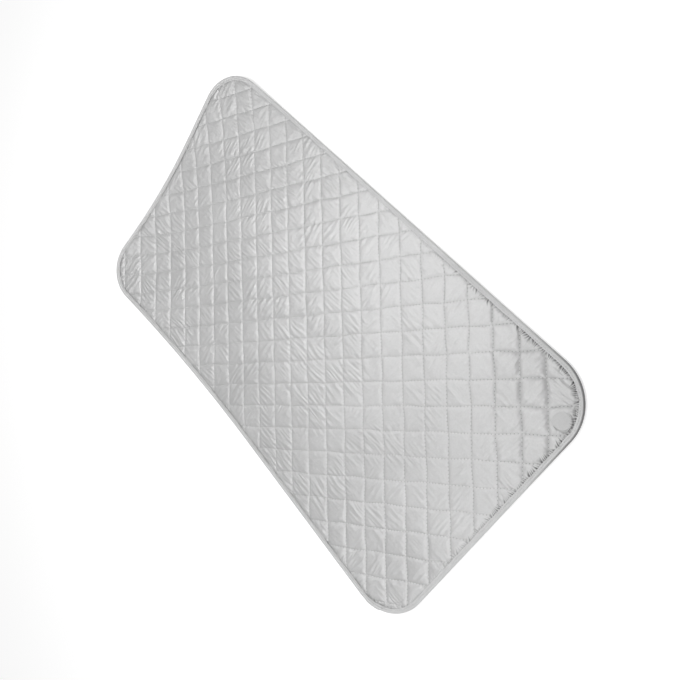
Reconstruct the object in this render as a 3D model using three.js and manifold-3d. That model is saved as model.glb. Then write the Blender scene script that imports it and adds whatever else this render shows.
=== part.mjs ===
import * as THREE from 'three';
import { mergeVertices } from 'three/addons/utils/BufferGeometryUtils.js';
import Module from 'manifold-3d';

// Quilted ironing pad with a magnet sewn into each corner.
// Millimetres, +Z up. The pad lies on z = 0 with its length along X, centred on the origin.

// Outline of the bound pad
const padLength = 830;
const padWidth = 460;
const cornerRadius = 70;

// Quilting: two sets of stitch rows that cross in diamonds
const firstPitch = 34.75;
const secondPitch = 35.05;
const firstLean = 44;
const secondLean = -47.3;
const crossingX = -3.1;
const crossingY = 10.2;
const puffHeight = 3.2;

// Plies from the underside up, and the air left between them
const backThickness = 0.5;
const feltThickness = 1.8;
const feltAtEdge = 0.8;
const waddingAtStitch = 0.6;
const faceThickness = 0.5;
const plyGap = 0.3;

// Binding tape folded round the edge
const tapeThickness = 0.6;
const bindingWidth = 9.5;
const bindingEase = 0.4;
const foldDepth = 2.5;
const tapeLap = 28;
const lapHeading = -78;

// Disc magnets, each in the quilt cell nearest to its place in the corner
const magnetDiameter = 20;
const magnetThickness = 1.5;
const magnetChamfer = 0.3;
const magnetFromEnd = 34;
const magnetFromSide = 54;
const magnetSeat = 0.4;
const pocketClearance = 0.4;

// Corners that stand up off the table: how high, from how far in and towards which heading
const frontCurlHeight = 34.6;
const frontCurlReach = 227.5;
const frontCurlHeading = -124.2;
const backCurlHeight = 14.5;
const backCurlReach = 165;
const backCurlHeading = 168.3;
const lapLiftReach = 150;

// How finely the round stretches are drawn
const cornerSteps = 8;
const sideSpacing = 55;
const lapSteps = 3;
const foldSteps = 4;
const magnetSegments = 24;
const pocketSegments = 12;
const edgeSnap = 1.5;

const cloth = { face: 0xcfd0d1, back: 0xb9babb, tape: 0xc9cacb, fibre: 0xf2f1ec, felt: 0xdedad0 };
const magnetColour = 0x9a9da1;

const radians = THREE.MathUtils.degToRad;
const halfLength = padLength / 2;
const halfWidth = padWidth / 2;
const lapTurn = tapeLap / cornerRadius;
const lapRise = tapeThickness + bindingEase;
const lapShelf = bindingWidth + cornerRadius * (1 - Math.cos(lapTurn));
const edgeRise = tapeThickness + bindingEase;

// Each curl rises from its reach to its shelf, the stretch next to the edge that has the full height
const curls = [
  {
    along: -1, across: -1, heading: radians(frontCurlHeading),
    height: frontCurlHeight, reach: frontCurlReach, shelf: 0,
  },
  {
    along: -1, across: 1, heading: radians(backCurlHeading),
    height: backCurlHeight, reach: backCurlReach, shelf: 0,
  },
  {
    along: 1, across: -1, heading: radians(lapHeading),
    height: lapRise, reach: lapLiftReach, shelf: lapShelf,
  },
];

// Height of the pad's underside over the table
function lay(x, y) {
  let height = 0;
  for (const curl of curls) {
    const tip = cornerPoint(curl.along, curl.across, curl.heading);
    const inward = (tip.x - x) * Math.cos(curl.heading) + (tip.y - y) * Math.sin(curl.heading);
    const rest = THREE.MathUtils.clamp(1 - (inward - curl.shelf) / curl.reach, 0, 1);
    height += curl.height * rest * rest;
  }
  return height;
}

function layNormal(x, y) {
  const step = 1;
  const slopeX = (lay(x + step, y) - lay(x - step, y)) / (2 * step);
  const slopeY = (lay(x, y + step) - lay(x, y - step)) / (2 * step);
  return new THREE.Vector3(-slopeX, -slopeY, 1).normalize();
}

// A point on a rounded corner of the outline
function cornerPoint(along, across, heading) {
  return new THREE.Vector2(
    along * (halfLength - cornerRadius) + cornerRadius * Math.cos(heading),
    across * (halfWidth - cornerRadius) + cornerRadius * Math.sin(heading),
  );
}

// Distance from the outline, negative inside the pad
function outside(x, y) {
  const overX = Math.abs(x) - halfLength + cornerRadius;
  const overY = Math.abs(y) - halfWidth + cornerRadius;
  const round = Math.hypot(Math.max(overX, 0), Math.max(overY, 0));
  return round + Math.min(Math.max(overX, overY), 0) - cornerRadius;
}

// Quilt rows

const firstStep = new THREE.Vector2(Math.cos(radians(firstLean)), Math.sin(radians(firstLean)));
const secondStep = new THREE.Vector2(Math.cos(radians(secondLean)), Math.sin(radians(secondLean)));
firstStep.multiplyScalar(firstPitch);
secondStep.multiplyScalar(secondPitch);

function quiltPoint(first, second) {
  return new THREE.Vector2(
    crossingX + first * firstStep.x + second * secondStep.x,
    crossingY + first * firstStep.y + second * secondStep.y,
  );
}

// The plies are cut together, just inside the fold of the tape
const plyEdge = -foldDepth;
const quiltReach = Math.ceil((halfLength + halfWidth) / Math.min(firstPitch, secondPitch)) + 2;

// Where a stitch row leaves the cut edge, between a crossing inside it and one outside
function edgeCrossing(from, to) {
  let inner = 0;
  let outer = 1;
  for (let halving = 0; halving < 40; halving += 1) {
    const middle = (inner + outer) / 2;
    const point = from.clone().lerp(to, middle);
    if (outside(point.x, point.y) < plyEdge) inner = middle;
    else outer = middle;
  }
  return from.clone().lerp(to, inner);
}

// A crossing that falls on the cut edge is moved onto it
function ontoEdge(point) {
  const step = 0.01;
  const distance = outside(point.x, point.y) - plyEdge;
  const slopeX = (outside(point.x + step, point.y) - outside(point.x - step, point.y)) / (2 * step);
  const slopeY = (outside(point.x, point.y + step) - outside(point.x, point.y - step)) / (2 * step);
  return new THREE.Vector2(point.x - distance * slopeX, point.y - distance * slopeY);
}

// The quilt as flat triangles: plain ones for flat plies, and peaked ones with a crown in each whole cell
function layOutQuilt() {
  const points = [];
  const places = new Map();
  const plain = [];
  const peaked = [];
  const cells = [];

  function place(key, make) {
    if (!places.has(key)) {
      places.set(key, points.length);
      points.push({ ...make(), pinched: false, crown: false });
    }
    return places.get(key);
  }

  function side(first, second) {
    const point = quiltPoint(first, second);
    const distance = outside(point.x, point.y) - plyEdge;
    if (Math.abs(distance) < edgeSnap) return 'edge';
    return distance < 0 ? 'in' : 'out';
  }

  for (let first = -quiltReach; first < quiltReach; first += 1) {
    for (let second = -quiltReach; second < quiltReach; second += 1) {
      const corners = [[first, second], [first, second + 1], [first + 1, second + 1], [first + 1, second]];
      const sides = corners.map((corner) => side(...corner));
      if (!sides.includes('in')) continue;
      const ring = [];
      corners.forEach((corner, index) => {
        const next = (index + 1) % corners.length;
        const here = quiltPoint(...corner);
        const there = quiltPoint(...corners[next]);
        if (sides[index] === 'in') {
          ring.push(place(`${corner}`, () => ({ x: here.x, y: here.y })));
        } else if (sides[index] === 'edge') {
          ring.push(place(`${corner}`, () => ontoEdge(here)));
        }
        const pair = [sides[index], sides[next]];
        if (pair.includes('in') && pair.includes('out')) {
          const key = [corner, corners[next]].map(String).sort().join(' to ');
          const leaving = sides[index] === 'in';
          ring.push(place(key, () => (leaving ? edgeCrossing(here, there) : edgeCrossing(there, here))));
        }
      });
      const start = ring.indexOf(places.get(`${corners[sides.indexOf('in')]}`));
      const fan = ring.slice(start).concat(ring.slice(0, start));
      const whole = sides.every((where) => where === 'in');
      const clear = corners.every((corner) => {
        const point = quiltPoint(...corner);
        return outside(point.x, point.y) < -bindingWidth;
      });
      for (let index = 1; index + 1 < fan.length; index += 1) {
        plain.push([fan[0], fan[index], fan[index + 1]]);
        if (!clear) peaked.push([fan[0], fan[index], fan[index + 1]]);
      }
      const middle = quiltPoint(first + 0.5, second + 0.5);
      cells.push(middle);
      if (clear) {
        const crown = points.length;
        points.push({ x: middle.x, y: middle.y, pinched: false, crown: true });
        fan.forEach((corner, index) => peaked.push([corner, fan[(index + 1) % fan.length], crown]));
      }
      if (!whole) fan.forEach((corner) => { points[corner].pinched = true; });
    }
  }

  const edges = new Map();
  for (const [a, b, c] of plain) {
    for (const [from, to] of [[a, b], [b, c], [c, a]]) edges.set(`${from} ${to}`, [from, to]);
  }
  const rim = [...edges.values()].filter(([from, to]) => !edges.has(`${to} ${from}`));
  return { points, plain, peaked, rim, cells };
}

const quilt = layOutQuilt();

// Heights of the plies' faces at a point of the quilt
const backUnder = (point) => lay(point.x, point.y) + (point.pinched ? edgeRise : 0);
const backOver = (point) => backUnder(point) + backThickness;
const feltUnder = (point) => backOver(point) + plyGap;
const feltOver = (point) => feltUnder(point) + (point.pinched ? feltAtEdge : feltThickness);
const waddingUnder = (point) => feltOver(point) + plyGap;
const waddingOver = (point) => waddingUnder(point) + waddingAtStitch + (point.crown ? puffHeight : 0);
const faceUnder = (point) => waddingOver(point) + plyGap;
const faceOver = (point) => faceUnder(point) + faceThickness;

// Turned inside out if need be, so that the faces of a closed mesh point outwards
function outward(positions, triangles) {
  const corner = (index) => new THREE.Vector3().fromArray(positions, 3 * index);
  let volume = 0;
  for (const [a, b, c] of triangles) volume += corner(a).dot(corner(b).cross(corner(c)));
  const faces = volume < 0 ? triangles.map(([a, b, c]) => [a, c, b]) : triangles;
  const geometry = new THREE.BufferGeometry();
  geometry.setAttribute('position', new THREE.Float32BufferAttribute(positions, 3));
  geometry.setIndex(faces.flat());
  return geometry;
}

// One ply between two sets of triangles. A feathered ply thins to nothing at its cut edge.
function ply(topFaces, topHeight, underFaces, underHeight, feathered = false) {
  const { points, rim } = quilt;
  const onRim = new Set(rim.flat());
  const positions = [];
  const top = points.map((point, index) => {
    positions.push(point.x, point.y, topHeight(point));
    return index;
  });
  const under = points.map((point, index) => {
    if (feathered && onRim.has(index)) return top[index];
    positions.push(point.x, point.y, underHeight(point));
    return positions.length / 3 - 1;
  });
  const triangles = topFaces.map((face) => face.map((index) => top[index]));
  for (const [a, b, c] of underFaces) triangles.push([under[a], under[c], under[b]]);
  if (!feathered) {
    for (const [from, to] of rim) {
      triangles.push([under[from], under[to], top[to]], [under[from], top[to], top[from]]);
    }
  }
  return outward(positions, triangles);
}

// Boolean cuts

const wasm = await Module();
wasm.setup();

function toSolid(geometry) {
  const bare = geometry.clone();
  bare.deleteAttribute('normal');
  bare.deleteAttribute('uv');
  const merged = mergeVertices(bare);
  return new wasm.Manifold(new wasm.Mesh({
    numProp: 3,
    vertProperties: new Float32Array(merged.attributes.position.array),
    triVerts: new Uint32Array(merged.index.array),
  }));
}

function cutOut(geometry, tools) {
  const result = tools.reduce((solid, tool) => solid.subtract(toSolid(tool)), toSolid(geometry)).getMesh();
  const cut = new THREE.BufferGeometry();
  cut.setAttribute('position', new THREE.BufferAttribute(result.vertProperties, result.numProp));
  cut.setIndex(new THREE.BufferAttribute(result.triVerts, 1));
  return cut;
}

// Magnets

const magnetRadius = magnetDiameter / 2;
const upright = new THREE.Vector3(0, 0, 1);

function magnetPlace(along, across) {
  const wanted = new THREE.Vector2(
    along * (halfLength - magnetFromEnd),
    across * (halfWidth - magnetFromSide),
  );
  const room = magnetRadius + pocketClearance + bindingWidth;
  const fitting = quilt.cells.filter((cell) => outside(cell.x, cell.y) < -room);
  fitting.sort((one, other) => one.distanceTo(wanted) - other.distanceTo(wanted));
  const { x, y } = fitting[0];
  const normal = layNormal(x, y);
  const seat = edgeRise + backThickness + magnetSeat + magnetThickness / 2;
  return {
    position: new THREE.Vector3(x, y, lay(x, y)).addScaledVector(normal, seat),
    turn: new THREE.Quaternion().setFromUnitVectors(upright, normal),
  };
}

const magnetCorners = [
  { name: 'corner_magnet_front_left', along: -1, across: -1 },
  { name: 'corner_magnet_front_right', along: 1, across: -1 },
  { name: 'corner_magnet_back_right', along: 1, across: 1 },
  { name: 'corner_magnet_back_left', along: -1, across: 1 },
].map((corner) => ({ ...corner, ...magnetPlace(corner.along, corner.across) }));

function discGeometry() {
  const half = magnetThickness / 2;
  const profile = [
    [0, -half],
    [magnetRadius - magnetChamfer, -half],
    [magnetRadius, -half + magnetChamfer],
    [magnetRadius, half - magnetChamfer],
    [magnetRadius - magnetChamfer, half],
    [0, half],
  ].map(([radius, height]) => new THREE.Vector2(radius, height));
  return new THREE.LatheGeometry(profile, magnetSegments).rotateX(Math.PI / 2);
}

// The round hole through felt and wadding that each magnet lies in
function pocketTools() {
  const depth = 2 * (bindingHeight + puffHeight);
  const radius = (magnetRadius + pocketClearance) / Math.cos(Math.PI / pocketSegments);
  return magnetCorners.map(({ position, turn }) => {
    const tool = new THREE.CylinderGeometry(radius, radius, depth, pocketSegments).rotateX(Math.PI / 2);
    return tool.applyQuaternion(turn).translate(position.x, position.y, position.z);
  });
}

// Edge binding

const stackHeight = edgeRise + backThickness + feltAtEdge + waddingAtStitch + faceThickness + 3 * plyGap;
const bindingHeight = stackHeight + bindingEase + tapeThickness;

// Stations round the outline, from the start of the tape to its lapped end
function tapeStations() {
  const stations = [];
  const add = (along, across, heading, lapped) => {
    const point = cornerPoint(along, across, heading);
    stations.push({ point, inward: new THREE.Vector2(-Math.cos(heading), -Math.sin(heading)), lapped });
  };
  const addArc = (along, across, from, to, steps, lapped) => {
    for (let step = 0; step <= steps; step += 1) {
      add(along, across, from + ((to - from) * step) / steps, lapped);
    }
  };
  const addSide = (to) => {
    const from = stations[stations.length - 1];
    const steps = Math.max(1, Math.round(from.point.distanceTo(to) / sideSpacing));
    for (let step = 1; step < steps; step += 1) {
      stations.push({ ...from, point: from.point.clone().lerp(to, step / steps) });
    }
  };
  const start = radians(lapHeading);
  const quarter = Math.PI / 2;
  addArc(1, -1, start, start + lapTurn, lapSteps, false);
  stations.pop();
  addArc(1, -1, start + lapTurn, 0, cornerSteps, false);
  [[1, 1, 0], [-1, 1, 1], [-1, -1, 2]].forEach(([along, across, turns]) => {
    addSide(cornerPoint(along, across, turns * quarter));
    addArc(along, across, turns * quarter, (turns + 1) * quarter, cornerSteps, false);
  });
  addSide(cornerPoint(1, -1, -quarter));
  addArc(1, -1, -quarter, start, lapSteps, false);
  stations.pop();
  addArc(1, -1, start, start + lapTurn, lapSteps, true);
  return stations;
}

// The folded tape's section as [in from the edge, up], wider by the tape where it laps its own start
function tapeSection(lapped) {
  const over = lapped ? lapRise : 0;
  const middle = bindingHeight / 2;
  const outer = [];
  const inner = [];
  for (let step = 0; step <= foldSteps; step += 1) {
    const angle = Math.PI * (step / foldSteps - 0.5);
    const bulge = 1 - Math.cos(angle);
    outer.push([(foldDepth + over) * bulge - over, middle + (middle + over) * Math.sin(angle)]);
    const insideHeight = middle + over - tapeThickness;
    const insideDepth = foldDepth + over - tapeThickness;
    inner.push([insideDepth * bulge - over + tapeThickness, middle + insideHeight * Math.sin(angle)]);
  }
  const low = -over;
  const high = bindingHeight + over;
  return [
    [bindingWidth, low],
    ...outer,
    [bindingWidth, high],
    [bindingWidth, high - tapeThickness],
    ...inner.reverse(),
    [bindingWidth, low + tapeThickness],
  ];
}

function bindingGeometry() {
  const stations = tapeStations();
  const positions = [];
  const count = tapeSection(false).length;
  for (const { point, inward, lapped } of stations) {
    for (const [depth, height] of tapeSection(lapped)) {
      const x = point.x + inward.x * depth;
      const y = point.y + inward.y * depth;
      positions.push(x, y, lay(x, y) + height);
    }
  }
  const triangles = [];
  for (let station = 0; station + 1 < stations.length; station += 1) {
    for (let index = 0; index < count; index += 1) {
      const a = station * count + index;
      const b = station * count + ((index + 1) % count);
      triangles.push([a, b, b + count], [a, b + count, a + count]);
    }
  }
  const contour = (lapped) => tapeSection(lapped).map((pair) => new THREE.Vector2(...pair));
  const last = (stations.length - 1) * count;
  for (const face of THREE.ShapeUtils.triangulateShape(contour(false), [])) {
    triangles.push(ordered(face, contour(false)).reverse());
  }
  for (const face of THREE.ShapeUtils.triangulateShape(contour(true), [])) {
    triangles.push(ordered(face, contour(true)).map((index) => last + index));
  }
  return outward(positions, triangles);
}

// A cap's triangle in the same turning sense as the section's own points
function ordered(face, contour) {
  const corners = face.map((index) => contour[index]);
  const same = Math.sign(THREE.ShapeUtils.area(corners)) === Math.sign(THREE.ShapeUtils.area(contour));
  return same ? [...face] : [face[0], face[2], face[1]];
}

// Assembly

function material(color, roughness, metalness = 0) {
  return new THREE.MeshStandardMaterial({ color, roughness, metalness });
}

function named(name, geometry, finish) {
  const mesh = new THREE.Mesh(geometry, finish);
  mesh.name = name;
  return mesh;
}

const pad = new THREE.Group();
const pockets = pocketTools();

pad.add(named(
  'face_cover',
  ply(quilt.peaked, faceOver, quilt.peaked, faceUnder, true),
  material(cloth.face, 0.55, 0.15),
));
pad.add(named(
  'upper_wadding',
  cutOut(ply(quilt.peaked, waddingOver, quilt.plain, waddingUnder), pockets),
  material(cloth.fibre, 0.95),
));
pad.add(named(
  'lower_felt',
  cutOut(ply(quilt.plain, feltOver, quilt.plain, feltUnder), pockets),
  material(cloth.felt, 0.95),
));
pad.add(named(
  'back_cover',
  ply(quilt.plain, backOver, quilt.plain, backUnder),
  material(cloth.back, 0.8),
));
pad.add(named('edge_binding', bindingGeometry(), material(cloth.tape, 0.7)));

for (const { name, position, turn } of magnetCorners) {
  const magnet = named(name, discGeometry(), material(magnetColour, 0.35, 0.9));
  magnet.position.copy(position);
  magnet.quaternion.copy(turn);
  pad.add(magnet);
}

export default pad;
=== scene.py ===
import math

import bmesh
import bpy
import numpy as np
from mathutils import Matrix, Vector


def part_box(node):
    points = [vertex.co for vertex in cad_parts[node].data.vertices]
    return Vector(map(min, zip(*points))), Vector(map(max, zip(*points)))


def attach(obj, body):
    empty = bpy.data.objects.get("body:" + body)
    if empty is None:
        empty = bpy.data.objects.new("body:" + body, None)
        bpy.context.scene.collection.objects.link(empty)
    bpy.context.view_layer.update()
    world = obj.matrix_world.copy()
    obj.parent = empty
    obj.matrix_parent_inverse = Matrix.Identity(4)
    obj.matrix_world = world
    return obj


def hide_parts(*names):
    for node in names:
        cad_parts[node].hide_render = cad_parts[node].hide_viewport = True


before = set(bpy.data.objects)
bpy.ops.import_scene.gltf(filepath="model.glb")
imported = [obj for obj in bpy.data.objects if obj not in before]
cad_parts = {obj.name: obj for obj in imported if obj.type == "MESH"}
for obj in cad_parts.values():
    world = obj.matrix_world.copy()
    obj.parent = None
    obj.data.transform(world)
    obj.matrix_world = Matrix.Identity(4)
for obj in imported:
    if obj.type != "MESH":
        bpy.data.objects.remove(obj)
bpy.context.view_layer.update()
print("frame loaded:", len(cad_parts), "nodes")

# The pad's outline and how it lies on the table, in metres

tapeLow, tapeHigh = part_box("edge_binding")

pad = {
    "length": tapeHigh.x - tapeLow.x,
    "width": tapeHigh.y - tapeLow.y,
    "corner": 0.070,
    "plyEdge": 0.0025,  # the plies end this far inside the fold of the tape
    "stitchTop": 0.0043,  # the face's height where a stitch row holds it down
    "edgeRise": 0.0010,  # the plies stand this high in the tape
    "riseFull": 0.0095,  # from here out to the edge
    "riseFade": 0.0100,
}
halfSize = np.array([pad["length"], pad["width"]]) / 2
coreSize = halfSize - pad["corner"]

# Corners that stand up: the way they lead, the rise at the tip and how far in it starts
curls = [
    {"side": (-1, -1), "heading": -124.2, "height": 0.0346, "reach": 0.2275, "shelf": 0.0},
    {"side": (-1, 1), "heading": 168.3, "height": 0.0145, "reach": 0.1650, "shelf": 0.0},
    {"side": (1, -1), "heading": -78.0, "height": 0.0010, "reach": 0.1500, "shelf": 0.0150},
]


def towards(degrees):
    return np.array([math.cos(math.radians(degrees)), math.sin(math.radians(degrees))])


# Held between 0 and 1
def unit(value):
    return np.clip(value, 0, 1)


def lay(xy):
    rise = np.zeros(len(xy))
    for curl in curls:
        way = towards(curl["heading"])
        tip = np.array(curl["side"]) * coreSize + pad["corner"] * way
        rest = unit(1 - ((tip - xy) @ way - curl["shelf"]) / curl["reach"])
        rise += curl["height"] * rest ** 2
    return rise


def outside(xy):
    over = np.abs(xy) - coreSize
    return np.hypot(*np.maximum(over, 0).T) + np.minimum(over.max(1), 0) - pad["corner"]


def outwardWay(xy):
    over = np.abs(xy) - coreSize
    onSide = np.where(over[:, :1] > over[:, 1:], [[1.0, 0.0]], [[0.0, 1.0]])
    way = np.where((over > 0).all(1)[:, None], over, onSide) * np.sign(xy)
    return way / np.linalg.norm(way, axis=1)[:, None]


# The outline by length along it, once round from the start of the tape

tapeStart = -78.0
cornerTurns = [(1, -1, tapeStart, 0), (1, 1, 0, 90), (-1, 1, 90, 180), (-1, -1, 180, 270)]
cornerTurns.append((1, -1, 270, 360 + tapeStart))


def outlineKnots():
    knots = []
    run = 0.0
    for index, (along, across, start, end) in enumerate(cornerTurns):
        centre = np.array([along, across]) * coreSize
        if index:
            run += np.linalg.norm(centre - knots[-1][1])
        knots.append((run, centre, start))
        run += math.radians(end - start) * pad["corner"]
        knots.append((run, centre, end))
    return knots


outline = outlineKnots()
outlineLength = outline[-1][0]


def alongOutline(run):
    at = [knot[0] for knot in outline]
    heading = np.radians(np.interp(run, at, [knot[2] for knot in outline]))
    way = np.stack([np.cos(heading), np.sin(heading)], 1)
    centre = np.stack([np.interp(run, at, [knot[1][axis] for knot in outline]) for axis in (0, 1)], 1)
    return centre + pad["corner"] * way, -way


def runOf(xy):
    runs = np.arange(0, outlineLength, 0.001)
    places = alongOutline(runs)[0]
    nearest = [((places - part[:, None]) ** 2).sum(2).argmin(1) for part in np.array_split(xy, 40)]
    run = runs[np.concatenate(nearest)]
    place, inward = alongOutline(run)
    ahead = np.stack([inward[:, 1], -inward[:, 0]], 1)
    return run + np.clip(((xy - place) * ahead).sum(1), -0.001, 0.001)


# From 0 to 1, with a soft start and end
def eased(part):
    part = unit(part)
    return part * part * (3 - 2 * part)


# Smooth random waves along a line, about -1 to 1, with a new value every span
def wander(run, span, seed):
    values = np.random.RandomState(seed).uniform(-1, 1, int(run.max() / span) + 2)
    at = run / span
    index = at.astype(int)
    return values[index] + (values[index + 1] - values[index]) * eased(at - index)


# The tape shows less inside the fold on the sides that face this way, and least along part of the back
narrowTape = {
    "facing": 41.5,
    "less": 0.24,
    "backMiddle": -0.10,
    "backHalf": 0.16,
    "backFade": 0.08,
    "backLess": 0.18,
}


def tapeShare(xy):
    side = eased((outwardWay(xy) @ towards(narrowTape["facing"]) + 0.4) / 0.8)
    aside = np.abs(xy[:, 0] - narrowTape["backMiddle"])
    along = eased((narrowTape["backHalf"] - aside) / narrowTape["backFade"] + 1)
    atBack = unit((xy[:, 1] - halfSize[1] + 0.05) / 0.02)
    return 1 - narrowTape["less"] * side - narrowTape["backLess"] * along * atBack


# The quilt: two sets of stitch rows, with a cell between each two rows of both

quilt = {
    "firstPitch": 0.03475,
    "secondPitch": 0.03505,
    "firstLean": 44.0,
    "secondLean": -47.3,
    "crossing": (-0.0031, 0.0102),
    "stitchesPerCell": 7,
    "wander": 0.0006,
}
firstWay = towards(quilt["firstLean"])
secondWay = towards(quilt["secondLean"])
quiltSteps = np.array([firstWay * quilt["firstPitch"], secondWay * quilt["secondPitch"]])
quiltReach = int(halfSize.sum() / quilt["firstPitch"]) + 3


# The rows wander a little from straight lines, as sewn ones do
def quiltPlace(uv):
    first, second = uv.T
    aside = np.sin(1.9 * second + 2.3 * first + 0.4) + 0.7 * np.sin(4.1 * second - 1.3 * first + 1.7)
    along = np.sin(1.7 * first - 2.9 * second + 2.1) + 0.7 * np.sin(3.7 * first + 1.1 * second + 0.3)
    straight = np.array(quilt["crossing"]) + uv @ quiltSteps
    return straight + quilt["wander"] * (aside[:, None] * firstWay + along[:, None] * secondWay)


def quiltGrid(perCell, inset):
    steps = np.arange(-quiltReach * perCell, quiltReach * perCell + 1) / perCell
    uv = np.stack(np.meshgrid(steps, steps, indexing="ij"), 2)
    middles = (uv[:-1, :-1] + uv[1:, 1:]).reshape(-1, 2) / 2
    kept = np.nonzero(outside(quiltPlace(middles)) < -inset)[0]
    side = len(steps)
    start = kept // (side - 1) * side + kept % (side - 1)
    squares = np.stack([start, start + 1, start + side + 1, start + side], 1)
    used, squares = np.unique(squares, return_inverse=True)
    uv = uv.reshape(-1, 2)[used]
    squares = squares.reshape(-1, 4)
    xy = quiltPlace(uv)
    rim = rimOf(squares)
    onRim = np.unique(rim)
    xy[onRim] -= (outside(xy[onRim]) + inset)[:, None] * outwardWay(xy[onRim])
    return {"uv": uv, "xy": xy, "squares": squares, "rim": rim, "perCell": perCell}


def rimOf(squares):
    edges = np.concatenate([squares[:, [k, (k + 1) % 4]] for k in range(4)])
    ways = {(a, b) for a, b in edges.tolist()}
    return np.array([(a, b) for a, b in edges.tolist() if (b, a) not in ways])


def onRows(uv):
    return np.abs(uv - np.round(uv)) < 1e-6


# One pillow in each cell: 0 on the rows, 1 in the middle
def pillow(uv, fullness):
    part = 2 * np.abs(uv - np.round(uv))
    return (1 - (1 - part[:, 0]) ** fullness) * (1 - (1 - part[:, 1]) ** fullness)


def newObject(name, data):
    thing = bpy.data.objects.new(name, data)
    bpy.context.scene.collection.objects.link(thing)
    return thing


def cornersOf(mesh):
    corners = np.zeros(len(mesh.loops), np.int32)
    mesh.loops.foreach_get("vertex_index", corners)
    return corners


def meshPiece(name, points, faces, material, uv):
    mesh = bpy.data.meshes.new(name)
    mesh.from_pydata(points.tolist(), [], [list(face) for face in faces])
    layer = mesh.uv_layers.new(name="UVMap")
    layer.data.foreach_set("uv", uv[cornersOf(mesh)].astype(np.float32).reshape(-1))
    mesh.shade_smooth()
    mesh.materials.append(material)
    return newObject(name, mesh)


# Nodes

def put(tree, kind, inputs=None, **settings):
    node = tree.nodes.new(kind)
    for name, value in settings.items():
        setattr(node, name, value)
    for name, value in (inputs or {}).items():
        if isinstance(value, bpy.types.NodeSocket):
            tree.links.new(value, node.inputs[name])
        else:
            node.inputs[name].default_value = value
    return node


# A node's first output
def made(tree, kind, inputs=None, **settings):
    return put(tree, kind, inputs, **settings).outputs[0]


def math2(tree, operation, first, second=0.5, third=0.5):
    return made(tree, "ShaderNodeMath", {0: first, 1: second, 2: third}, operation=operation)


def product(tree, first, second):
    return math2(tree, "MULTIPLY", first, second)


def socket(tree, side, kind, label):
    return tree.interface.new_socket(label, in_out=side, socket_type="NodeSocket" + kind)


def newGroup(name, numbers, outputs):
    tree = bpy.data.node_groups.new(name, "ShaderNodeTree")
    socket(tree, "INPUT", "Vector", "Vector")
    for label, value in numbers.items():
        socket(tree, "INPUT", "Float", label).default_value = value
    for label in outputs:
        socket(tree, "OUTPUT", "Float", label)
    return tree, put(tree, "NodeGroupInput").outputs, put(tree, "NodeGroupOutput")


def shared(tree, group, inputs):
    return put(tree, "ShaderNodeGroup", inputs, node_tree=group).outputs


def ramp(tree, value, low, high, start=0.0, end=1.0):
    ends = {"Value": value, "From Min": low, "From Max": high, "To Min": start, "To Max": end}
    return made(tree, "ShaderNodeMapRange", ends)


def noise(tree, place, scale, detail, distortion=0.0):
    spread = {"Vector": place, "Scale": scale, "Detail": detail, "Distortion": distortion}
    return put(tree, "ShaderNodeTexNoise", spread).outputs


# Threads over and under each other, in square cells of one thread
def weaveGroup():
    tree, given, out = newGroup("threads", {"Threads": 2000.0}, ["Height"])
    counted = {0: given["Vector"], "Scale": given["Threads"]}
    scaled = made(tree, "ShaderNodeVectorMath", counted, operation="SCALE")
    parts = put(tree, "ShaderNodeSeparateXYZ", {0: scaled}).outputs
    rounds = []
    for part in parts[:2]:
        turn = product(tree, math2(tree, "FRACT", part), math.pi)
        rounds.append(math2(tree, "SINE", turn))
    cells = math2(tree, "ADD", *[math2(tree, "FLOOR", part) for part in parts[:2]])
    over = math2(tree, "FLOORED_MODULO", cells, 2.0)
    under = math2(tree, "SUBTRACT", 1.0, over)
    warp = product(tree, rounds[0], math2(tree, "MULTIPLY_ADD", over, 0.6, 0.4))
    weft = product(tree, rounds[1], math2(tree, "MULTIPLY_ADD", under, 0.6, 0.4))
    tree.links.new(math2(tree, "MAXIMUM", warp, weft), out.inputs["Height"])
    return tree


# Slow blotches and fine flecks of tone
def mottleGroup():
    numbers = {"Blotches": 12.0, "Flecks": 600.0, "Low": 0.9, "High": 1.1}
    tree, given, out = newGroup("mottle", numbers, ["Tone"])
    noises = []
    for scale, detail in (("Blotches", 3.0), ("Flecks", 2.0)):
        noises.append(noise(tree, given["Vector"], given[scale], detail)["Fac"])
    both = math2(tree, "MULTIPLY_ADD", noises[1], 0.45, product(tree, noises[0], 0.55))
    tone = ramp(tree, both, 0.35, 0.65, given["Low"], given["High"])
    tree.links.new(tone, out.inputs["Tone"])
    return tree


# Needle holes along each row, for a map with a row at every whole number; the cloth is darkened there as
# painted shade in the holes
def rowsGroup():
    tree, given, out = newGroup("stitched rows", {"Stitches": 7.0, "Width": 0.03}, ["Hole"])
    parts = put(tree, "ShaderNodeSeparateXYZ", {0: given["Vector"]}).outputs
    holes = []
    for across, along in ((parts[0], parts[1]), (parts[1], parts[0])):
        aside = math2(tree, "PINGPONG", across, 0.5)
        near = {"Value": aside, "From Max": given["Width"], "To Min": 1.0, "To Max": 0.0}
        onRow = made(tree, "ShaderNodeMapRange", near, interpolation_type="SMOOTHSTEP")
        step = math2(tree, "PINGPONG", product(tree, along, given["Stitches"]), 0.5)
        holes.append(product(tree, onRow, ramp(tree, step, 0.0, 0.20, 1.0, 0.0)))
    tree.links.new(math2(tree, "MAXIMUM", *holes), out.inputs["Hole"])
    return tree


# A place that wanders from the given one, so that the lines of a pattern bend
def drifted(tree, place, scale, detail, reach):
    wide = {0: noise(tree, place, scale, detail)["Color"], 1: (reach, reach, 0.0)}
    bent = made(tree, "ShaderNodeVectorMath", wide, operation="MULTIPLY")
    return made(tree, "ShaderNodeVectorMath", {0: place, 1: bent}, operation="ADD")


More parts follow.
